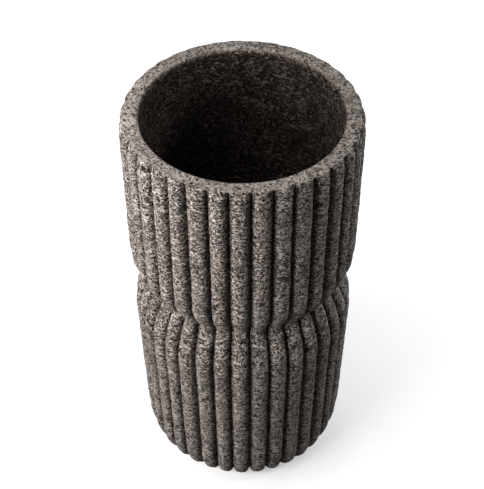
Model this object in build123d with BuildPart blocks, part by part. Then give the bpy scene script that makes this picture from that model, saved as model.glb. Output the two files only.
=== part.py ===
# Ribbed cast-stone vase with a lift-out water liner and felt pads under its base.
# Millimetres, +Z up. The origin lies on the table, under the middle of the vase.

import math
import os

from build123d import *

# Stone body, outside
body_height = 306.0
crest_radius = 80.0  # to the rib crests of the upper half
rib_count = 35
groove_depth = 5.5  # crest to groove where the ribs are widest

# Rim: the rib tops round in to it and the grooves run out
rim_rise = 13.0  # length of the rounded rib tops
rim_inset = 3.4  # crest radius lost at the rim
rim_runout = 1.8  # groove depth lost at the rim

# Waist: the ribs bend in to it from above and below
waist_height = 170.0
waist_pinch = 9.8  # crest radius lost at the waist
waist_rise = 27.0  # length of the bend above the waist
waist_drop = 35.0  # length of the bend below the waist
waist_blunt = 3.0  # rounding of the waist itself
waist_bulge_up = 2.0  # power of the bend above the waist, 1 would be a straight flank
waist_bulge_down = 1.9  # and below it

# Foot: the lower half tapers to it and rolls under
foot_taper = 3.3
foot_height = 28.0
foot_inset = 9.5

# Bore, drawn out upward in one piece
rim_width = 13.0  # crest to bore at the mouth
bore_draft = 3.75  # degrees
floor_thickness = 14.0
bore_round = 8.0
mouth_round = 1.5

# Water liner, a thin cup that stands on the floor of the bore
liner_height = 140.0
liner_wall = 1.6
liner_round = 10.0
liner_gap = 2.6  # to the bore, all the way up
lip_reach = 1.6  # lip beyond the liner's wall
lip_height = 5.0

# Felt pads, stuck to the underside
pad_count = 4
pad_radius = 10.0
pad_height = 2.0
pad_margin = 5.0  # pad to the edge of the flat underside
pad_start = 45.0  # degrees, first pad from +X

# Worked-out places
base_z = pad_height
floor_z = base_z + floor_thickness
rim_z = base_z + body_height
rib_angle = 360 / rib_count
front_angle = -90
foot_radius = crest_radius - foot_taper
mouth_radius = crest_radius - rim_width
pad_circle = foot_radius - foot_inset - groove_depth - pad_margin - pad_radius


def quarter(share):
    # fall of a quarter circle of radius 1 at this share of its width
    return 1 - math.sqrt(max(0, 1 - share**2))


def plain_radius(height):
    # crest radius at a height above the underside, before the rim is rounded
    radius = crest_radius
    if height < waist_height:
        below = (waist_height - height) / (waist_height - foot_height)
        radius -= foot_taper * min(1, below)
    if height < foot_height:
        radius -= foot_inset * quarter(1 - height / foot_height)
    run, bulge = waist_drop, waist_bulge_down
    if height > waist_height:
        run, bulge = waist_rise, waist_bulge_up
    reach = math.hypot(height - waist_height, waist_blunt) - waist_blunt
    return radius - waist_pinch * max(0, 1 - reach / run) ** bulge


def rib_radii(height):
    # crest and groove radius at a height above the underside
    plain = plain_radius(height)
    turned = quarter(max(0, height - (body_height - rim_rise)) / rim_rise)
    groove = plain - groove_depth * plain / crest_radius
    return plain - rim_inset * turned, groove + rim_runout * turned


def bore_radius(z):
    return mouth_radius - (rim_z - z) * math.tan(math.radians(bore_draft))


def polar(radius, angle):
    return (radius * math.cos(math.radians(angle)), radius * math.sin(math.radians(angle)))


# Stretches of the outside, each a list of section heights above the underside
curve_steps = 7
bend_steps = 22
bend_low = waist_height - waist_drop - waist_blunt
bend_high = waist_height + waist_rise + waist_blunt
rim_low = body_height - rim_rise
turns = [math.radians(90 * step / curve_steps) for step in range(curve_steps + 1)]
foot = [foot_height * (1 - math.cos(turn)) for turn in turns]
lower = [foot_height, bend_low]
bend = [bend_low + (bend_high - bend_low) * step / bend_steps for step in range(bend_steps + 1)]
upper = [bend_high, rim_low]
rim = [rim_low + rim_rise * math.sin(turn) for turn in turns]

# Stone body: ribbed outside, plain tapered bore
with BuildPart() as stone_body:
    for stretch in (foot, lower, bend, upper, rim):
        for height in stretch:
            crest, groove = rib_radii(height)
            with BuildSketch(Plane.XY.offset(base_z + height)):
                with BuildLine():
                    for rib in range(rib_count):
                        middle = front_angle + rib * rib_angle
                        ThreePointArc(
                            polar(groove, middle - rib_angle / 2),
                            polar(crest, middle),
                            polar(groove, middle + rib_angle / 2),
                        )
                make_face()
        loft()
    with BuildSketch(Plane.XZ) as bore:
        with BuildLine():
            Polyline(
                (0, rim_z),
                (0, floor_z),
                (bore_radius(floor_z), floor_z),
                (mouth_radius, rim_z),
                close=True,
            )
        make_face()
        fillet(bore.vertices().group_by(Axis.Y)[0].sort_by(Axis.X)[-1], bore_round)
    revolve(axis=Axis.Z, mode=Mode.SUBTRACT)
    rim_circles = stone_body.edges().filter_by(GeomType.CIRCLE).group_by(Axis.Z)[-1]
    fillet(rim_circles.sort_by(SortBy.RADIUS)[-1], mouth_round)
stone_body.part.label = "stone_body"

# Water liner: tapered cup with a rolled lip
liner_top = floor_z + liner_height
liner_foot_radius = bore_radius(floor_z) - liner_gap
liner_top_radius = bore_radius(liner_top) - liner_gap
with BuildPart() as water_liner:
    with BuildSketch(Plane.XZ) as cup:
        with BuildLine():
            Polyline(
                (0, floor_z),
                (liner_foot_radius, floor_z),
                (liner_top_radius, liner_top),
                (0, liner_top),
                close=True,
            )
        make_face()
        fillet(cup.vertices().group_by(Axis.Y)[0].sort_by(Axis.X)[-1], liner_round)
    revolve(axis=Axis.Z)
    top_face = water_liner.faces().sort_by(Axis.Z)[-1]
    offset(amount=-liner_wall, openings=top_face)
    with BuildSketch(Plane.XZ) as lip:
        with BuildLine():
            Polyline(
                (liner_top_radius - liner_wall, liner_top),
                (liner_top_radius + lip_reach, liner_top),
                (liner_top_radius + lip_reach, liner_top - lip_height + lip_reach + liner_wall),
                (liner_top_radius - liner_wall, liner_top - lip_height),
                close=True,
            )
        make_face()
    revolve(axis=Axis.Z)
water_liner.part.label = "water_liner"

# Felt pads on the flat underside
felt_pads = []
for number in range(pad_count):
    pad_angle = pad_start + number * 360 / pad_count
    with BuildPart() as felt_pad:
        with BuildSketch(Plane.XY):
            with Locations(polar(pad_circle, pad_angle)):
                Circle(pad_radius)
        extrude(amount=pad_height)
    felt_pad.part.label = f"felt_pad_{number + 1}"
    felt_pads.append(felt_pad.part)

os.makedirs("parts", exist_ok=True)
for piece in [stone_body.part, water_liner.part, *felt_pads]:
    export_step(piece, f"parts/{piece.label}.step")
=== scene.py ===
import math

import bmesh
import bpy
from mathutils import Matrix, Quaternion, Vector, noise


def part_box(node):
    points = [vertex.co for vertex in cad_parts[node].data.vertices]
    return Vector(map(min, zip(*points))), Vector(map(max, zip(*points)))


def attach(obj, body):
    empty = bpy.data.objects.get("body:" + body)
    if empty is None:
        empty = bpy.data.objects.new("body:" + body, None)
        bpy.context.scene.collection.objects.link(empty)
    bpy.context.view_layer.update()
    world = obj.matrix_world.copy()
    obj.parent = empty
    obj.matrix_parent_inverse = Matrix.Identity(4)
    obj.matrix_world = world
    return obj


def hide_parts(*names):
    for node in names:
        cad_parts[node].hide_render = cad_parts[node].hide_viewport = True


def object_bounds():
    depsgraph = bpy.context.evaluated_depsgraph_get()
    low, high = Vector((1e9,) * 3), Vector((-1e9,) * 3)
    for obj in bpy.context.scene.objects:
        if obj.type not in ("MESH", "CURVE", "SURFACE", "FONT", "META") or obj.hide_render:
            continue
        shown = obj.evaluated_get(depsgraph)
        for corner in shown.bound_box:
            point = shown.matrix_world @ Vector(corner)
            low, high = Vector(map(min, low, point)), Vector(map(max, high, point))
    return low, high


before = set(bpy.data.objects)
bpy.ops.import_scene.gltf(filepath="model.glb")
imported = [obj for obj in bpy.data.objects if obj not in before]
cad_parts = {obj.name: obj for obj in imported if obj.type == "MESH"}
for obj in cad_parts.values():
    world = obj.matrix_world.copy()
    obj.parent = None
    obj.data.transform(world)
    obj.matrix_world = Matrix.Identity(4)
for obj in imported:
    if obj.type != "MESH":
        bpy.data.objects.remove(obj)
cadLow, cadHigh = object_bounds()
scene = bpy.context.scene
scene.view_settings.view_transform = "Standard"
print("frame loaded:", sorted(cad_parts))

quarterTurn = math.pi / 2
mergeGap = 1e-6                 # points closer than this become one
noiseSpan = (0.3, 0.7)          # values that a noise texture mostly keeps to


# helpers for materials
def addNode(tree, kind, place, **values):
    node = tree.nodes.new(kind)
    node.location = place
    for name, value in values.items():
        setattr(node, name, value)
    return node


def newMaterial(name, specular, roughness=0.5):
    material = bpy.data.materials.new(name)
    material.use_nodes = True
    material.node_tree.nodes.clear()
    tree = material.node_tree
    output = addNode(tree, "ShaderNodeOutputMaterial", (900, 0))
    shader = addNode(tree, "ShaderNodeBsdfPrincipled", (600, 0))
    shader.inputs["Roughness"].default_value = roughness
    shader.inputs["Specular IOR Level"].default_value = specular
    tree.links.new(shader.outputs[0], output.inputs[0])
    return material, tree, shader


def addCoords(tree, place):
    return addNode(tree, "ShaderNodeTexCoord", place).outputs["Object"]


def addAttribute(tree, place, name):
    return addNode(tree, "ShaderNodeAttribute", place, attribute_name=name).outputs["Fac"]


def addTexture(tree, kind, place, coords, values):
    texture = addNode(tree, kind, place)
    for name, value in values.items():
        texture.inputs[name].default_value = value
    tree.links.new(coords, texture.inputs["Vector"])
    return texture


def addNoise(tree, place, coords, values):
    return addTexture(tree, "ShaderNodeTexNoise", place, coords, values).outputs["Fac"]


def addRamp(tree, place, source, stops):
    ramp = addNode(tree, "ShaderNodeValToRGB", place)
    while len(ramp.color_ramp.elements) < len(stops):
        ramp.color_ramp.elements.new(0.5)
    for element, (position, colour) in zip(ramp.color_ramp.elements, stops):
        element.position = position
        element.color = (*colour, 1)
    tree.links.new(source, ramp.inputs[0])
    return ramp.outputs[0]


def addMath(tree, kind, place, first, second):
    node = addNode(tree, "ShaderNodeMath", place, operation=kind)
    for socket, value in zip(node.inputs, (first, second)):
        if isinstance(value, (int, float)):
            socket.default_value = value
        else:
            tree.links.new(value, socket)
    return node.outputs[0]


def addRange(tree, place, source, span, newSpan):
    node = addNode(tree, "ShaderNodeMapRange", place)
    names = ("From Min", "From Max", "To Min", "To Max")
    for name, value in zip(names, (*span, *newSpan)):
        node.inputs[name].default_value = value
    tree.links.new(source, node.inputs["Value"])
    return node.outputs[0]


def addBump(tree, place, height, strength, distance):
    bump = addNode(tree, "ShaderNodeBump", place)
    bump.inputs["Strength"].default_value = strength
    bump.inputs["Distance"].default_value = distance
    tree.links.new(height, bump.inputs["Height"])
    return bump.outputs[0]


# helpers for shapes
def spread(first, last, count):
    return [first + (last - first) * step / count for step in range(count + 1)]


def quarter(share):
    # fall of a quarter circle of radius 1 at this share of its width
    return 1 - math.sqrt(max(0, 1 - share * share))


def arc(middle, radius, first, last, count):
    return [(middle[0] + radius * math.cos(turn), middle[1] + radius * math.sin(turn))
            for turn in spread(math.radians(first), math.radians(last), count)]


def spinChain(bm, chain, columns, middle=(0, 0)):
    edges = [bm.edges.new(pair) for pair in zip(chain, chain[1:])]
    bmesh.ops.spin(bm, geom=chain + edges, axis=(0, 0, 1), cent=(*middle, 0), angle=math.tau,
                   steps=columns, use_merge=True)
    bmesh.ops.remove_doubles(bm, verts=bm.verts, dist=mergeGap)
    bmesh.ops.recalc_face_normals(bm, faces=bm.faces)


def spinOutline(points, columns, middle=(0, 0)):
    bm = bmesh.new()
    chain = [bm.verts.new((middle[0] + radius, middle[1], z)) for radius, z in points]
    spinChain(bm, chain, columns, middle)
    return bm


def finishPiece(bm, name, body, material, node):
    for face in bm.faces:
        face.smooth = True
    mesh = bpy.data.meshes.new(name)
    bm.to_mesh(mesh)
    bm.free()
    mesh.materials.append(material)
    piece = bpy.data.objects.new(name, mesh)
    scene.collection.objects.link(piece)
    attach(piece, body)
    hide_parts(node)
    print(name, "made,", sum(len(p.vertices) - 2 for p in mesh.polygons), "triangles")


# stone body: half-round ribs outside, a plain tapered bore, coarse pitted stone
stoneLow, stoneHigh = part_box("stone_body")
stone = {
    "ribs": 35,
    "columnsPerRib": 12,
    "grooveDepth": 0.0055,
    "ribWidth": 0.92,           # share of the spacing, the rest is open groove
    "ribFlatness": 2.3,         # 2 is round, more is flatter with steeper flanks
    "rimRise": 0.0115,          # length of the rounded rib tops
    "rimInset": 0.0034,         # crest radius lost at the rim
    "rimRunout": 0.0020,        # groove depth lost there
    "waistHeight": 0.1688,      # above the underside
    "waistPinch": 0.0106,       # crest radius lost at the waist
    "waistRise": 0.026,         # length of the bend above it
    "waistDrop": 0.035,         # and below it
    "waistBlunt": 0.0018,
    "waistBulgeUp": 2.0,        # power of the bend, 1 would be a straight flank
    "waistBulgeDown": 1.9,
    "footTaper": 0.0033,
    "footHeight": 0.028,
    "footInset": 0.0095,
    "rimWidth": 0.013,
    "boreDraft": math.radians(3.75),
    "floorThickness": 0.014,
    "boreRound": 0.008,
    "mouthRound": 0.0015,
    "wallRow": 0.0019,          # height of a row of faces outside
    "boreRow": 0.0026,          # and in the part of the bore that shows
    "boreShown": 0.12,
    "crease": math.radians(55),     # edges bent more than this stay sharp
    "rimWearAndLight": 0.8,             # wear of the flat rim, and its painted highlight
    "wearAndLightOnset": 5,             # power by which wear and its painted highlight grow over the rib tops
    "grooveShadeFade": (0.4, 0.8),     # shares of a rib's height where painted groove shade starts to thin and ends
    "wander": (5, 0.09),        # scale and share of the spacing that ribs stray by
    "lump": (60, 0.0003),       # scale and height of the casting's unevenness
    "grit": (330, 0.0003),      # of the grains
    "crumb": (700, 0.0002),
    "pit": (230, 0.001),        # scale and depth of the larger pores
    "pitSize": (0.455, 0.5),    # smallest and largest radius of a pit, in cells
    "pitEdge": 0.6,             # power, less gives steeper walls
    "wornOff": 0.6,             # share of the roughness that wear takes
    "underLeft": 0.3,           # share of it that the underside keeps
    # rows of faces in the stretches that have no row height of their own
    "rows": {"under": 6, "foot": 12, "ribTop": 9, "rim": 5, "mouth": 3,
             "boreHidden": 9, "boreRound": 4, "boreFloor": 3},
    "finish": {
        "layering": 2.0,            # grains are this much flatter than wide
        "worm": {"Scale": 185, "Detail": 1.5, "Roughness": 0.5, "Distortion": 1.8},
        "crumb": {"Scale": 560, "Detail": 1.0, "Roughness": 0.6, "Distortion": 0.4},
        "scratch": {"Scale": 145, "Detail": 1.5, "Roughness": 0.5, "Distortion": 1.8},
        "patch": {"Scale": 45, "Detail": 2.0},
        "pores": {"Scale": 340},
        "grainWidth": 0.13,         # of the curled grains, to either side
        "grainHeight": 0.6,
        "crumbHeight": 0.4,
        "poreDraw": (0.45, 0.55),   # cells that draw more than this are open pores
        "poreEdge": (0.18, 0.36),   # distances from the middle of the cell
        "poreDepth": 0.7,
        "glintDraw": (0.12, 0.2),   # cells that draw less than this hold a painted glint, a pale spot
        "glintEdge": (0.12, 0.32),
        "glintHeight": 0.28,
        "middle": 0.45,             # level on the colour ramp that the grain varies about
        # painted highlight: level that worn stone is lifted to, paler on the rim and mouth edge
        "paintedHighlightMiddle": 0.505,
        "wornGrain": 0.42,          # share of that variation left by wear
        "wornRelief": 0.2,          # share of the relief left by wear
        "grooveShadeDrop": 0.12,           # level lost to painted shade in a groove
        "grooveShadeTone": 0.62,           # brightness left by painted shade at the bottom of a groove
        "strokeEdge": (0.008, 0.055),   # of the thin pale strokes in the bore
        "strokeLevel": (0.86, 0.03),
        "strokeGrain": 0.22,
        "strokePore": 0.4,
        "ridgeWidth": 0.1,
        "patchTone": (0.86, 1.14),
        "colours": (
            (0.08, (0.025, 0.0187, 0.0150)),
            (0.33, (0.138, 0.115, 0.101)),
            (0.53, (0.42, 0.372, 0.338)),
            (0.78, (0.73, 0.662, 0.611)),
        ),
        "boreShade": (0.365, 0.326, 0.295),  # painted shade: colour of the bore beside the outside
        "bump": (1.0, 0.0020),      # strength and height
        "roughness": 0.92,
        "specular": 0.12,
    },
}
noiseShift = Vector((7, 3, 1))
pitSeed = 91.7
touching = 1e-5                 # points this close to the underside belong to it
grooveMiddle = quarterTurn - 0.01   # a column turned further lies in the middle of a groove
crestRadius = -stoneLow.y       # a crest lies straight in front
bodyHeight = stoneHigh.z - stoneLow.z
mouthRadius = crestRadius - stone["rimWidth"]
rimLow = bodyHeight - stone["rimRise"]
ribAngle = math.tau / stone["ribs"]
frontAngle = -quarterTurn


def plainRadius(height):
    # crest radius at a height above the underside, before the rim is rounded
    waist, foot = stone["waistHeight"], stone["footHeight"]
    radius = crestRadius
    if height < waist:
        radius -= stone["footTaper"] * min(1, (waist - height) / (waist - foot))
    if height < foot:
        radius -= stone["footInset"] * quarter(1 - height / foot)
    run, bulge = stone["waistDrop"], stone["waistBulgeDown"]
    if height > waist:
        run, bulge = stone["waistRise"], stone["waistBulgeUp"]
    reach = math.hypot(height - waist, stone["waistBlunt"]) - stone["waistBlunt"]
    return radius - stone["waistPinch"] * max(0, 1 - reach / run) ** bulge


def ribRadii(height):
    # crest and groove radius
    plain = plainRadius(height)
    turned = quarter(max(0, height - rimLow) / stone["rimRise"])
    groove = plain * (1 - stone["grooveDepth"] / crestRadius)
    return plain - stone["rimInset"] * turned, groove + stone["rimRunout"] * turned


def boreRadius(height):
    return mouthRadius - (bodyHeight - height) * math.tan(stone["boreDraft"])


def stoneOutline():
    # radius, height above the underside, then the shares of ribbing, painted bore shade, and wear
    # with its painted highlight
    foot, flat, rows = stone["footHeight"], plainRadius(0), stone["rows"]
    points = [(radius, 0, radius / flat, 0, 0)
              for radius in spread(0, flat, rows["under"])[:-1]]
    heights = [foot * (1 - math.cos(turn))
               for turn in spread(0, quarterTurn, rows["foot"])[:-1]]
    heights += spread(foot, rimLow, round((rimLow - foot) / stone["wallRow"]))[:-1]
    points += [(ribRadii(height)[0], height, 1, 0, 0) for height in heights]
    for turn in spread(0, quarterTurn, rows["ribTop"]):
        height = rimLow + stone["rimRise"] * math.sin(turn)
        wearAndLight = (turn / quarterTurn) ** stone["wearAndLightOnset"] * stone["rimWearAndLight"]
        points.append((ribRadii(height)[0], height, 1, 0, wearAndLight))
    edge, inner = ribRadii(bodyHeight)[0], mouthRadius + stone["mouthRound"]
    for radius in spread(edge, inner, rows["rim"])[1:]:
        points.append((radius, bodyHeight, (radius - inner) / (edge - inner), 0, stone["rimWearAndLight"]))
    for turn in spread(0, quarterTurn, rows["mouth"])[1:]:
        reach = inner - stone["mouthRound"] * math.sin(turn)
        sunk = stone["mouthRound"] * (1 - math.cos(turn))
        points.append((reach, bodyHeight - sunk, 0, turn / math.pi, 1))  # half in the painted bore shade at its end
    boreTop = bodyHeight - stone["mouthRound"]
    boreEnd = bodyHeight - stone["boreShown"]
    boreLow = stone["floorThickness"] + stone["boreRound"]
    heights = spread(boreTop, boreEnd, round((boreTop - boreEnd) / stone["boreRow"]))[1:]
    heights += spread(boreEnd, boreLow, rows["boreHidden"])[1:]
    points += [(boreRadius(height), height, 0, 1, 0) for height in heights]
    middle = boreRadius(boreLow) - stone["boreRound"]
    for turn in spread(0, quarterTurn, rows["boreRound"])[1:]:
        reach = middle + stone["boreRound"] * math.cos(turn)
        points.append((reach, boreLow - stone["boreRound"] * math.sin(turn), 0, 1, 0))
    points += [(radius, stone["floorThickness"], 0, 1, 0)
               for radius in spread(middle, 0, rows["boreFloor"])[1:]]
    return points


def spinStone():
    bm = bmesh.new()
    layers = [bm.verts.layers.float.new(name) for name in ("ribbed", "bore", "wornAndLit")]
    chain = []
    for radius, height, *shares in stoneOutline():
        vert = bm.verts.new((radius, 0, stoneLow.z + height))
        for layer, share in zip(layers, shares):
            vert[layer] = share
        chain.append(vert)
    spinChain(bm, chain, stone["ribs"] * stone["columnsPerRib"])
    return bm


def ribPoint(offset, crest, groove):
    # where a column lies on the rib: angle off the crest and radius
    turn = offset / ribAngle * math.pi
    across = abs(math.sin(turn)) ** (2 / stone["ribFlatness"])
    if abs(turn) < grooveMiddle:
        across *= stone["ribWidth"]
    radius = groove + (crest - groove) * math.cos(turn)
    return math.copysign(across, offset) * ribAngle / 2, radius


def pressRibs(bm):
    ribbed = bm.verts.layers.float["ribbed"]
    wornAndLit = bm.verts.layers.float["wornAndLit"]
    grooveShade = bm.verts.layers.float.new("grooveShade")
    scale, share = stone["wander"]
    shadeFull, shadeEnd = stone["grooveShadeFade"]
    for vert in bm.verts:
        if vert[ribbed] == 0:
            continue
        crest, groove = ribRadii(vert.co.z - stoneLow.z)
        angle = math.atan2(vert.co.y, vert.co.x) - frontAngle
        offset = (angle + ribAngle / 2) % ribAngle - ribAngle / 2
        newOffset, radius = ribPoint(offset, crest, groove)
        raised = (radius - groove) / (crest - groove)
        # painted shade: colour darker towards the bottom of each groove, less on worn stone
        shadeShare = min(1, max(0, (shadeEnd - raised) / (shadeEnd - shadeFull)))
        vert[grooveShade] = shadeShare * vert[ribbed] * (1 - vert[wornAndLit])
        around = Vector((vert.co.x, vert.co.y, 0)).normalized()
        stray = noise.noise(around * scale + Vector((0, 0, vert.co.z * scale))) * share * ribAngle
        turn = (newOffset - offset + stray) * vert[ribbed]
        shrink = 1 + (radius / crest - 1) * vert[ribbed]
        vert.co = Matrix.Rotation(turn, 3, "Z") @ vert.co
        vert.co.x *= shrink
        vert.co.y *= shrink
    bm.normal_update()
    for edge in bm.edges:
        edge.smooth = edge.calc_face_angle(0) < stone["crease"]


def roughen(bm):
    pore = bm.verts.layers.float.new("pore")
    wornAndLit = bm.verts.layers.float["wornAndLit"]
    pitScale, pitDepth = stone["pit"]
    smallest, largest = stone["pitSize"]
    moves = []
    for vert in bm.verts:
        move = 0
        for name in ("lump", "grit", "crumb"):
            scale, height = stone[name]
            move += noise.noise(vert.co * scale + noiseShift) * height
        distances, points = noise.voronoi(vert.co * pitScale)
        size = largest * noise.cell(points[0] * pitSeed)
        if size > smallest:
            vert[pore] = max(0, 1 - distances[0] / size) ** stone["pitEdge"]
        move -= vert[pore] * pitDepth
        moves.append(vert.normal * move * (1 - stone["wornOff"] * vert[wornAndLit]))
    for vert, move in zip(bm.verts, moves):
        under = vert.co.z < stoneLow.z + touching
        vert.co += move * stone["underLeft"] if under else move
        vert.co.z = max(vert.co.z, stoneLow.z)


def offMiddle(tree, place, source):
    # how far a noise is from its middle value
    moved = addMath(tree, "SUBTRACT", (place[0] - 200, place[1]), source, 0.5)
    return addMath(tree, "ABSOLUTE", place, moved, 0)


def stoneMaterial():
    look = stone["finish"]
    material, tree, shader = newMaterial("pittedStone", look["specular"], look["roughness"])
    layered = addNode(tree, "ShaderNodeMapping", (-2050, 0))
    layered.inputs["Scale"].default_value = (1, 1, look["layering"])
    tree.links.new(addCoords(tree, (-2300, 0)), layered.inputs["Vector"])
    coords = layered.outputs[0]
    scratch = addNoise(tree, (-1700, 800), coords, look["scratch"])
    worm = addNoise(tree, (-1700, 500), coords, look["worm"])
    crumb = addNoise(tree, (-1700, 200), coords, look["crumb"])
    patch = addNoise(tree, (-1700, -100), coords, look["patch"])
    pores = addTexture(tree, "ShaderNodeTexVoronoi", (-1700, -400), coords, look["pores"])
    drawn, away = pores.outputs["Color"], pores.outputs["Distance"]
    pore = addAttribute(tree, (-1700, -700), "pore")
    bore = addAttribute(tree, (-1700, -900), "bore")
    grooveShade = addAttribute(tree, (-1700, -1100), "grooveShade")
    wornAndLit = addAttribute(tree, (-1700, -1300), "wornAndLit")

    # pale curled grains stand where the noise crosses its middle value, crumbs lie among them
    curl = offMiddle(tree, (-1300, 500), worm)
    grain = addRange(tree, (-1100, 500), curl, (0, look["grainWidth"]), (1, 0))
    grain = addMath(tree, "MULTIPLY", (-1100, 300), grain, look["grainHeight"])
    crumbs = addRange(tree, (-1300, 200), crumb, noiseSpan, (0, look["crumbHeight"]))
    rough = addMath(tree, "ADD", (-900, 400), grain, crumbs)

    # small pores here, the larger pits come with the mesh
    hole = addRange(tree, (-1400, -400), away, look["poreEdge"], (1, 0))
    chosen = addRange(tree, (-1400, -600), drawn, look["poreDraw"], (0, 1))
    hole = addMath(tree, "MULTIPLY", (-1200, -400), hole, chosen)
    hole = addMath(tree, "MAXIMUM", (-1000, -400), hole, pore)
    sunk = addMath(tree, "MULTIPLY", (-800, -300), hole, look["poreDepth"])
    height = addMath(tree, "SUBTRACT", (-700, 200), rough, sunk)
    # painted glints: pale spots raised on the ramp
    pale = addRange(tree, (-1200, -600), drawn, look["glintDraw"], (look["glintHeight"], 0))
    spot = addRange(tree, (-1200, -800), away, look["glintEdge"], (1, 0))
    glint = addMath(tree, "MULTIPLY", (-1000, -600), pale, spot)
    height = addMath(tree, "ADD", (-650, 100), height, glint)

    # wear planes the grain down to its pale middle and lifts it as a painted highlight, painted
    # shade darkens the grooves
    planed = addRange(tree, (-700, 700), wornAndLit, (0, 1), (1, look["wornGrain"]))
    level = addMath(tree, "SUBTRACT", (-600, 300), height, look["middle"])
    level = addMath(tree, "MULTIPLY", (-500, 400), level, planed)
    # painted highlight: worn stone lifted to a paler level
    middle = addRange(tree, (-700, 900), wornAndLit, (0, 1), (look["middle"], look["paintedHighlightMiddle"]))
    level = addMath(tree, "ADD", (-400, 400), level, middle)
    # painted groove shade lowers the level
    drop = addMath(tree, "MULTIPLY", (-550, 500), grooveShade, look["grooveShadeDrop"])
    level = addMath(tree, "SUBTRACT", (-350, 400), level, drop)

    # the bore keeps only thin strokes pale, the rest dark as painted shade
    bent = offMiddle(tree, (-1300, 1100), scratch)
    thin = addRange(tree, (-1100, 1100), bent, look["strokeEdge"], look["strokeLevel"])
    grained = addMath(tree, "MULTIPLY", (-1100, 1300), rough, look["strokeGrain"])
    thin = addMath(tree, "ADD", (-900, 1100), thin, grained)
    holed = addMath(tree, "MULTIPLY", (-900, 1300), hole, look["strokePore"])
    strokes = addMath(tree, "SUBTRACT", (-700, 1100), thin, holed)
    outside = addMath(tree, "SUBTRACT", (-600, 600), 1, bore)
    level = addMath(tree, "MULTIPLY", (-400, 600), level, outside)
    strokes = addMath(tree, "MULTIPLY", (-400, 800), strokes, bore)
    level = addMath(tree, "ADD", (-250, 400), level, strokes)

    # colour: the ramp, times the bore's painted shade, times patches and painted groove shade
    colour = addRamp(tree, (-150, 300), level, look["colours"])
    boreShade = addRamp(tree, (-150, 600), bore, [(0, (1, 1, 1)), (1, look["boreShade"])])
    boreShaded = addNode(tree, "ShaderNodeVectorMath", (100, 400), operation="MULTIPLY")
    tree.links.new(colour, boreShaded.inputs[0])
    tree.links.new(boreShade, boreShaded.inputs[1])
    patched = addRange(tree, (-900, 0), patch, noiseSpan, look["patchTone"])
    grooveShaded = addRange(tree, (-900, -1100), grooveShade, (0, 1), (1, look["grooveShadeTone"]))
    toned = addNode(tree, "ShaderNodeVectorMath", (300, 200), operation="SCALE")
    tree.links.new(boreShaded.outputs[0], toned.inputs[0])
    tone = addMath(tree, "MULTIPLY", (-300, -100), patched, grooveShaded)
    tree.links.new(tone, toned.inputs["Scale"])
    tree.links.new(toned.outputs[0], shader.inputs["Base Color"])

    # relief of the grains, and of the strokes in the bore
    kept = addRange(tree, (-200, -500), wornAndLit, (0, 1), (1, look["wornRelief"]))
    relief = addMath(tree, "MULTIPLY", (0, -300), height, kept)
    ridge = addRange(tree, (-400, -700), bent, (0, look["ridgeWidth"]), (1, 0))
    ridge = addMath(tree, "MULTIPLY", (-200, -700), ridge, bore)
    relief = addMath(tree, "ADD", (0, -500), relief, ridge)
    tree.links.new(addBump(tree, (200, -300), relief, *look["bump"]), shader.inputs["Normal"])
    return material


stoneShape = spinStone()
pressRibs(stoneShape)
roughen(stoneShape)
finishPiece(stoneShape, "stoneBody", "vase", stoneMaterial(), "stone_body")


# water liner: a thin moulded cup with a rolled lip, which stands on the floor of the bore
linerLow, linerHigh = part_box("water_liner")
liner = {
    "wall": 0.0016,
    "round": 0.010,             # between wall and bottom, outside
    "lipReach": 0.0016,
    "lipDrop": 0.0036,          # height of the flare under the lip
    "lipRound": 0.0012,
    "lipStart": -40,            # degrees, where the flare runs into the lip
    "footRing": 0.005,          # width of the ring that the cup stands on
    "footSink": 0.0005,
    "columns": 96,
    "wallRows": 6,
    "bendRows": 8,
    "lipRows": (7, 4),          # outside and inside
    "colour": (0.016, 0.016, 0.017),
    "dulled": 1.5,              # brightness of the dull smears
    "smear": {"Scale": 28, "Detail": 4.0, "Distortion": 0.8},
    "smearEdge": (0.4, 0.75),
    "smearRoughness": (0.42, 0.6),
    "sparkle": {"Scale": 1500, "Detail": 2.0},
    "bump": (0.25, 0.0002),     # strength and height
    "specular": 0.45,
}
linerTop = linerHigh.x - liner["lipReach"]


def linerRadius(z):
    return linerTop - (linerHigh.z - z) * math.tan(stone["boreDraft"])


def linerOutline():
    # radius and height, from under the cup round its lip to the middle inside
    wall, bend, lip, sink = liner["wall"], liner["round"], liner["lipRound"], liner["footSink"]
    wallRows, bendRows, (lipOut, lipIn) = liner["wallRows"], liner["bendRows"], liner["lipRows"]
    bendTop = linerLow.z + bend
    flat = linerRadius(bendTop) - bend
    ring = flat - liner["footRing"]
    points = [(0, linerLow.z + sink), (ring, linerLow.z + sink), (ring + sink, linerLow.z)]
    points += arc((flat, bendTop), bend, -90, 0, bendRows)
    flare = linerHigh.z - liner["lipDrop"]
    points += [(linerRadius(z), z) for z in spread(bendTop, flare, wallRows)[1:]]
    points += arc((linerHigh.x - lip, linerHigh.z - lip), lip, liner["lipStart"], 90, lipOut)
    points += arc((linerTop - wall + lip / 2, linerHigh.z - lip / 2), lip / 2, 90, 180, lipIn)
    points += [(linerRadius(z) - wall, z)
               for z in spread(linerHigh.z - lip, bendTop, wallRows)[1:]]
    points += arc((flat, bendTop), bend - wall, 0, -90, bendRows)[1:]
    return points + [(0, linerLow.z + wall)]


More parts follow.
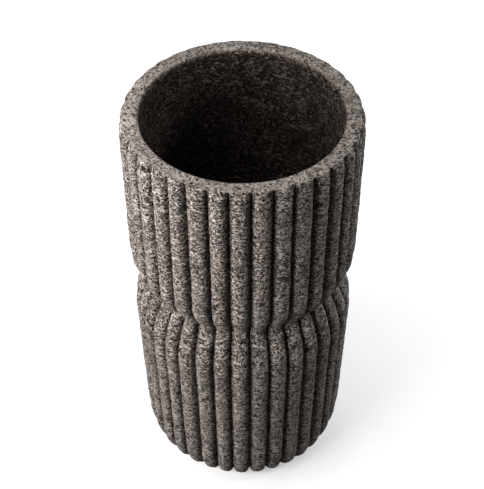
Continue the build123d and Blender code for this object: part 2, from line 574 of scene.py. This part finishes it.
def linerMaterial():
    material, tree, shader = newMaterial("mouldedBlack", liner["specular"])
    coords = addCoords(tree, (-1200, 0))
    sparkle = addNoise(tree, (-900, 100), coords, liner["sparkle"])
    smear = addNoise(tree, (-900, -200), coords, liner["smear"])
    shades = (liner["colour"], [shade * liner["dulled"] for shade in liner["colour"]])
    colour = addRamp(tree, (-300, 200), smear, list(zip(liner["smearEdge"], shades)))
    tree.links.new(colour, shader.inputs["Base Color"])
    roughness = addRange(tree, (-300, -100), smear, noiseSpan, liner["smearRoughness"])
    tree.links.new(roughness, shader.inputs["Roughness"])
    tree.links.new(addBump(tree, (200, -300), sparkle, *liner["bump"]), shader.inputs["Normal"])
    return material


linerShape = spinOutline(linerOutline(), liner["columns"])
finishPiece(linerShape, "waterLiner", "liner", linerMaterial(), "water_liner")


# felt pads: die-cut discs with a soft, slightly ragged edge
pad = {
    "count": 4,
    "columns": 48,
    "rows": 12,                 # from the middle to the edge
    "edgeRows": (3, 4),         # in the rounding and up the side
    "round": 0.0005,
    "edge": (700, 0.0004),      # scale and depth of the ragged edge
    "nap": (1300, 0.00015),     # of the fibres underneath
    "colour": (0.052, 0.048, 0.045),
    "shades": ((0.55, 0.35), (0.8, 1.0), (1.0, 2.4)),   # levels of the fibres, and brightness
    "fibre": {"Scale": 1400, "Detail": 3.0, "Roughness": 0.7, "Distortion": 2.5},
    "tuft": {"Scale": 320, "Detail": 2.0},
    "tuftShare": 0.6,
    "bump": (0.8, 0.0006),      # strength and height
    "roughness": 1.0,
    "specular": 0.1,
    "sheen": 0.4,
}


def padShape(low, high):
    radius = (high.x - low.x) / 2
    middle = ((low.x + high.x) / 2, (low.y + high.y) / 2)
    roundRows, sideRows = pad["edgeRows"]
    flat, roundTop = radius - pad["round"], low.z + pad["round"]
    points = [(reach, low.z) for reach in spread(0, flat, pad["rows"])[:-1]]
    points += arc((flat, roundTop), pad["round"], -90, 0, roundRows)
    points += [(radius, z) for z in spread(roundTop, high.z, sideRows)[1:]]
    bm = spinOutline(points + [(0, high.z)], pad["columns"], middle)
    edgeScale, edgeDepth = pad["edge"]
    napScale, napDepth = pad["nap"]
    for vert in bm.verts:
        ragged = noise.noise(vert.co * edgeScale) - 1
        napped = noise.noise(vert.co * napScale) + 1
        side = Vector((vert.normal.x, vert.normal.y, 0))
        vert.co += side * ragged * edgeDepth / 2
        if vert.co.z < high.z - pad["round"]:
            vert.co.z += napped * napDepth / 2
    return bm


def padMaterial():
    material, tree, shader = newMaterial("greyFelt", pad["specular"], pad["roughness"])
    shader.inputs["Sheen Weight"].default_value = pad["sheen"]
    coords = addCoords(tree, (-1200, 0))
    fibre = addNoise(tree, (-900, 100), coords, pad["fibre"])
    tuft = addNoise(tree, (-900, -200), coords, pad["tuft"])
    tufted = addMath(tree, "MULTIPLY", (-750, -200), tuft, pad["tuftShare"])
    matted = addMath(tree, "ADD", (-600, 0), fibre, tufted)
    stops = [(level, [shade * share for shade in pad["colour"]]) for level, share in pad["shades"]]
    tree.links.new(addRamp(tree, (-300, 200), matted, stops), shader.inputs["Base Color"])
    tree.links.new(addBump(tree, (200, -300), matted, *pad["bump"]), shader.inputs["Normal"])
    return material


feltFinish = padMaterial()
for number in range(1, pad["count"] + 1):
    cadPad = f"felt_pad_{number}"
    padMesh = padShape(*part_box(cadPad))
    finishPiece(padMesh, f"feltPad{number}", "vase", feltFinish, cadPad)


# floor: pale, white to the eye further out, with a painted shadow round the vase where it glows
# less
floorSheet = {
    "size": 8.0,
    "colours": (0.15, 0.55),    # for the light that it throws back, and to the eye
    "shade": (0.025, -0.035),   # middle of the painted shadow, where the floor is darkest
    "reach": 0.6,               # and how far the painted shadow goes
    "glowWithShadow": ((0.05, 0.45), (0.12, 0.62), (0.2, 0.7), (0.5, 0.9), (1, 1)),
    "roughness": 0.9,
    "specular": 0.1,
}


def seenDirectly(tree):
    # 1 where the camera looks straight, in a mirror or through glass
    rays = addNode(tree, "ShaderNodeLightPath", (-300, -300)).outputs
    mirrored, through = rays["Is Glossy Ray"], rays["Is Transmission Ray"]
    shiny = addMath(tree, "MAXIMUM", (-100, -400), mirrored, through)
    return addMath(tree, "MAXIMUM", (100, -300), rays["Is Camera Ray"], shiny)


def floorMaterial():
    material, tree, shader = newMaterial(
        "paleFloor", floorSheet["specular"], floorSheet["roughness"])
    shader.inputs["Emission Color"].default_value = (1, 1, 1, 1)
    seen = seenDirectly(tree)
    colour = addRange(tree, (300, 100), seen, (0, 1), floorSheet["colours"])
    tree.links.new(colour, shader.inputs["Base Color"])
    reach = floorSheet["reach"]
    moved = addNode(tree, "ShaderNodeMapping", (-500, -600))
    moved.inputs["Location"].default_value = [-place / reach for place in (*floorSheet["shade"], 0)]
    moved.inputs["Scale"].default_value = [1 / reach] * 3
    tree.links.new(addCoords(tree, (-700, -600)), moved.inputs["Vector"])
    away = addNode(tree, "ShaderNodeVectorMath", (-300, -600), operation="LENGTH")
    tree.links.new(moved.outputs[0], away.inputs[0])
    # painted shadow: the glow is lower near the vase
    stops = [(share, [level] * 3) for share, level in floorSheet["glowWithShadow"]]
    glowWithShadow = addRamp(tree, (0, -600), away.outputs["Value"], stops)
    shown = addMath(tree, "MULTIPLY", (300, -300), seen, glowWithShadow)
    tree.links.new(shown, shader.inputs["Emission Strength"])
    return material


floorMesh = bmesh.new()
bmesh.ops.create_grid(floorMesh, x_segments=1, y_segments=1, size=floorSheet["size"] / 2)
bmesh.ops.translate(floorMesh, verts=floorMesh.verts, vec=(0, 0, cadLow.z))
floorData = bpy.data.meshes.new("floor")
floorMesh.to_mesh(floorData)
floorMesh.free()
floorData.materials.append(floorMaterial())
floor = bpy.data.objects.new("floor", floorData)
scene.collection.objects.link(floor)
print("floor laid")

# lamps: three soft boxes close on the left, one high, one low, then one on the right and one behind
# degrees round from the front, degrees up, metres away, metres across, watts, colour
warm, cool, cold = (1, 0.98, 0.96), (0.96, 0.98, 1), (0.92, 0.97, 1)
lamps = {
    "sideBox": (-74, 58, 0.33, 0.16, 0.32, warm),
    "frontBox": (-44, 22, 0.47, 0.24, 1.92, warm),
    "lowBox": (-72, 9, 0.62, 0.3, 2.4, warm),
    "edgeLamp": (95, 30, 1.0, 0.3, 3.15, cool),
    "backLamp": (138, 9, 1.2, 0.3, 5.0, cold),
}
lampAim = Vector((0, 0, 0.2))
ambient = 0.035


def outward(turn, rise):
    # direction from the vase, turn counted from the front and positive to the right
    level = math.cos(rise)
    return Vector((math.sin(turn) * level, -math.cos(turn) * level, math.sin(rise)))


for name, (turn, rise, distance, size, power, colour) in lamps.items():
    lamp = bpy.data.lights.new(name, "AREA")
    lamp.shape = "DISK"
    lamp.size = size
    lamp.energy = power
    lamp.color = colour
    holder = bpy.data.objects.new(name, lamp)
    way = outward(math.radians(turn), math.radians(rise))
    holder.location = lampAim + way * distance
    holder.rotation_euler = way.to_track_quat("Z", "Y").to_euler()
    scene.collection.objects.link(holder)

# world: white to the eye, faint as light
world = bpy.data.worlds.new("studio")
scene.world = world
world.use_nodes = True
sky = world.node_tree
sky.nodes.clear()
worldOut = addNode(sky, "ShaderNodeOutputWorld", (700, 0))
background = addNode(sky, "ShaderNodeBackground", (500, 0))
background.inputs["Color"].default_value = (1, 1, 1, 1)
whiteSeen = addMath(sky, "MAXIMUM", (300, 0), seenDirectly(sky), ambient)
sky.links.new(whiteSeen, background.inputs["Strength"])
sky.links.new(background.outputs[0], worldOut.inputs[0])
print("lights set")

# camera at the photograph's angle
view = {
    "aim": Vector((0, 0, 0.1865)),
    "distance": 0.84045,
    "rise": math.radians(45.47),
    "turn": math.radians(1.25),
    "roll": math.radians(-0.2),
    "sensor": 36,
    "frameSide": 489,           # pixels of the longer side
    "focal": 1176.0,            # in the same pixels
    "shift": -0.8,
}
cameraData = bpy.data.cameras.new("camera")
cameraData.sensor_width = view["sensor"]
cameraData.lens = view["focal"] * view["sensor"] / view["frameSide"]
cameraData.shift_x = view["shift"] / view["frameSide"]
camera = bpy.data.objects.new("camera", cameraData)
way = outward(view["turn"], view["rise"])
rolled = Quaternion((0, 0, 1), view["roll"])
camera.location = view["aim"] + way * view["distance"]
camera.rotation_euler = (way.to_track_quat("Z", "Y") @ rolled).to_euler()
scene.collection.objects.link(camera)
scene.camera = camera
print("camera set")
